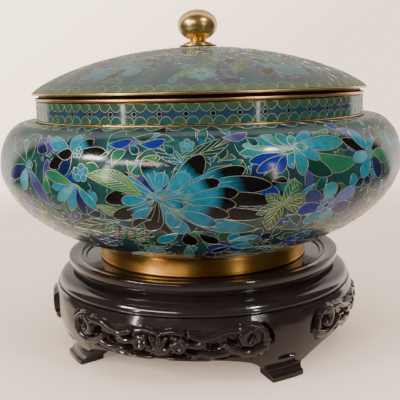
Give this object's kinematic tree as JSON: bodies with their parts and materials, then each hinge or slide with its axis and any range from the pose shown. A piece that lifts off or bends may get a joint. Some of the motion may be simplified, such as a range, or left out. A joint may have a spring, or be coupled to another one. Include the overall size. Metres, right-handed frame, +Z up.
{
  "type": "cloisonne covered bowl on wooden stand",
  "caption": "Wide covered bowl of wired enamel on copper with a domed lid and gilt ball knob, standing in the recess of a turned and carved lacquered wooden stand on out-turned feet",
  "frame": {"origin": "on the table under the centre of the stand", "axes": "+Z up along the turned axis; X and Y each run through the middle of two opposite aprons"},
  "size_m": [0.25, 0.25, 0.2103],
  "materials": {
    "copper": "plain hammered copper sheet, hidden between the enamels",
    "gilt_brass": "polished gilt brass",
    "floral_enamel": "glossy polished glass enamel with brass cell wires, flowers on deep teal",
    "border_enamel": "glossy polished glass enamel with a scalloped and dotted wire border",
    "lining_enamel": "glossy plain turquoise counter enamel",
    "lacquered_wood": "near-black brown gloss lacquer over carved hardwood"
  },
  "bodies": {
    "stand": {"stand_top_ring": "lacquered_wood", "stand_seat_panel": "lacquered_wood", "stand_moulding_ring": "lacquered_wood", "stand_leg_1": "lacquered_wood", "stand_apron_1": "lacquered_wood", "stand_leg_2": "lacquered_wood", "stand_apron_2": "lacquered_wood", "stand_leg_3": "lacquered_wood", "stand_apron_3": "lacquered_wood", "stand_leg_4": "lacquered_wood", "stand_apron_4": "lacquered_wood"},
    "bowl": {"bowl_copper_body": "copper", "bowl_enamel": "floral_enamel", "bowl_lining_enamel": "lining_enamel", "neck_enamel": "border_enamel", "shoulder_wire": "gilt_brass", "mouth_rim": "gilt_brass", "foot_ring": "gilt_brass", "base_enamel": "lining_enamel"},
    "lid": {"lid_copper_dome": "copper", "lid_enamel": "floral_enamel", "lid_lining_enamel": "lining_enamel", "lid_rim": "gilt_brass", "knob": "gilt_brass", "knob_plate": "gilt_brass", "knob_stud": "gilt_brass", "knob_washer": "gilt_brass", "knob_nut": "gilt_brass"}
  },
  "joints": [
    {"name": "bowl_lift", "type": "slide", "parent": "stand", "child": "bowl", "axis": [0, 0, 1], "range_m": [0, 0.06]},
    {"name": "lid_lift", "type": "slide", "parent": "bowl", "child": "lid", "axis": [0, 0, 1], "range_m": [0, 0.06]}
  ]
}
